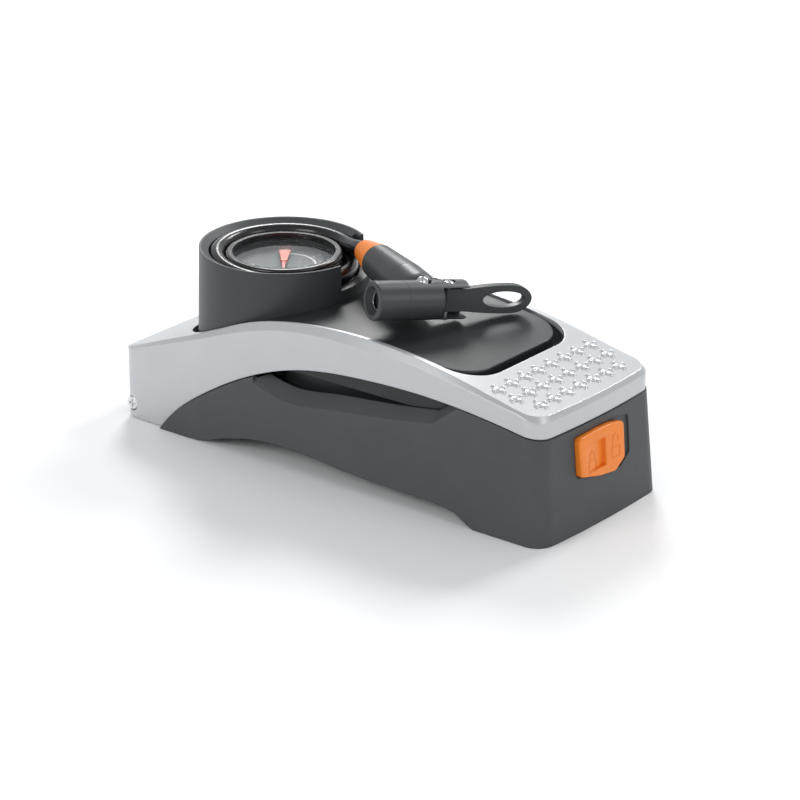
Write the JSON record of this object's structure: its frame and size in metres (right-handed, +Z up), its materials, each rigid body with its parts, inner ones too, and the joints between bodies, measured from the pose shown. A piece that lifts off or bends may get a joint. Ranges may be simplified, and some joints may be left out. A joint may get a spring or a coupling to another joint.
{
  "type": "foot pump",
  "caption": "Arched pedal foot pump, folded and locked, with a round gauge tower, a hose coiled in its rim and a lever chuck on the deck",
  "frame": {"origin": "bottom centre of the pump body on the ground, without the hose and chuck", "axes": "+X towards the tread end, +Z up, -Y the side the chuck mouth faces"},
  "size_m": [0.2931, 0.1082, 0.1134],
  "materials": {
    "pedal_silver": "satin metallic paint on moulded plastic",
    "base_grey": "fine-grained dark grey plastic",
    "deck_grey": "satin near-black plastic",
    "tower_grey": "satin dark grey plastic",
    "black_plastic": "gloss black plastic",
    "orange_plastic": "satin orange plastic",
    "rubber": "matt rubber",
    "hose_rubber": "gloss black hose",
    "chuck_plastic": "satin dark grey plastic",
    "steel": "zinc-plated steel",
    "chrome": "bright plated",
    "aluminium": "turned aluminium",
    "brass": "turned brass",
    "glass": "clear lens",
    "dial_print": "pale grey printed card",
    "needle_red": "painted red"
  },
  "bodies": {
    "base": {"pump_cylinder": "aluminium", "cylinder_rear_cap": "black_plastic", "rod_bush": "brass", "cylinder_head": "black_plastic", "valve_spring": "steel", "outlet_nut": "brass", "air_pipe": "black_plastic", "cylinder_saddles": "base_grey", "cylinder_straps": "steel", "base_shell": "base_grey", "bottom_cover": "base_grey", "cover_screws": "steel", "foot_pads": "rubber", "hinge_pin": "steel", "hinge_screws": "chrome", "return_springs": "steel", "deck_cover": "deck_grey", "deck_screws": "steel", "gauge_tower": "tower_grey", "gauge_housing": "black_plastic", "gauge_bezel": "black_plastic", "gauge_lens": "glass", "gauge_dial": "dial_print", "gauge_movement": "brass", "bourdon_tube": "brass", "hose_coil": "hose_rubber", "hose_root": "brass", "hose_lead": "hose_rubber", "hose_collar": "orange_plastic", "chuck_neck": "chuck_plastic", "chuck_body": "chuck_plastic", "chuck_nose": "chuck_plastic", "chuck_seal": "rubber", "seal_washer": "chrome", "valve_depressor": "chrome", "lever_pin": "chrome", "chuck_screw": "chrome"},
    "pedal": {"pedal_frame": "pedal_silver", "crank_bracket": "steel", "crank_pin": "steel", "crank_clip": "steel", "catch_hook": "steel"},
    "link": {"connecting_link": "black_plastic"},
    "plunger": {"piston_rod": "steel", "wrist_pin": "steel", "piston": "black_plastic", "piston_ring": "rubber"},
    "lock": {"lock_slide": "orange_plastic", "lock_bolt": "steel", "bolt_screw": "steel"},
    "needle": {"gauge_needle": "needle_red"},
    "lever": {"chuck_lever": "chuck_plastic"},
    "valve": {"valve_disc": "rubber"}
  },
  "joints": [
    {"name": "pedal_hinge", "type": "hinge", "parent": "base", "child": "pedal", "pos_m": [-0.1387, 0, 0.008], "axis": [0, -1, 0], "range_deg": [0, 34]},
    {"name": "link_pivot", "type": "hinge", "parent": "pedal", "child": "link", "pos_m": [-0.1294, 0, 0.0355], "axis": [0, -1, 0], "range_deg": [-36, 0]},
    {"name": "piston_stroke", "type": "slide", "parent": "base", "child": "plunger", "axis": [1, 0, 0], "range_m": [-0.0172, 0]},
    {"name": "valve_lift", "type": "slide", "parent": "base", "child": "valve", "axis": [1, 0, 0], "range_m": [0, 0.0012], "stiffness_N_per_m": 40},
    {"name": "lock_travel", "type": "slide", "parent": "base", "child": "lock", "axis": [0, 1, 0], "range_m": [0, 0.0078]},
    {"name": "needle_turn", "type": "hinge", "parent": "base", "child": "needle", "pos_m": [-0.0705, 0, 0.0924], "axis": [0, 0, -1], "range_deg": [0, 270]},
    {"name": "lever_swing", "type": "hinge", "parent": "base", "child": "lever", "pos_m": [0.04166, -0.00043, 0.09706], "axis": [-0.061, -0.1251, -0.9903], "range_deg": [0, 90]}
  ],
  "couplings": [
    {"joint": "link_pivot", "follows": "pedal_hinge", "ratio": -1.0125},
    {"joint": "piston_stroke", "follows": "pedal_hinge", "m_per_rad": -0.028465}
  ]
}
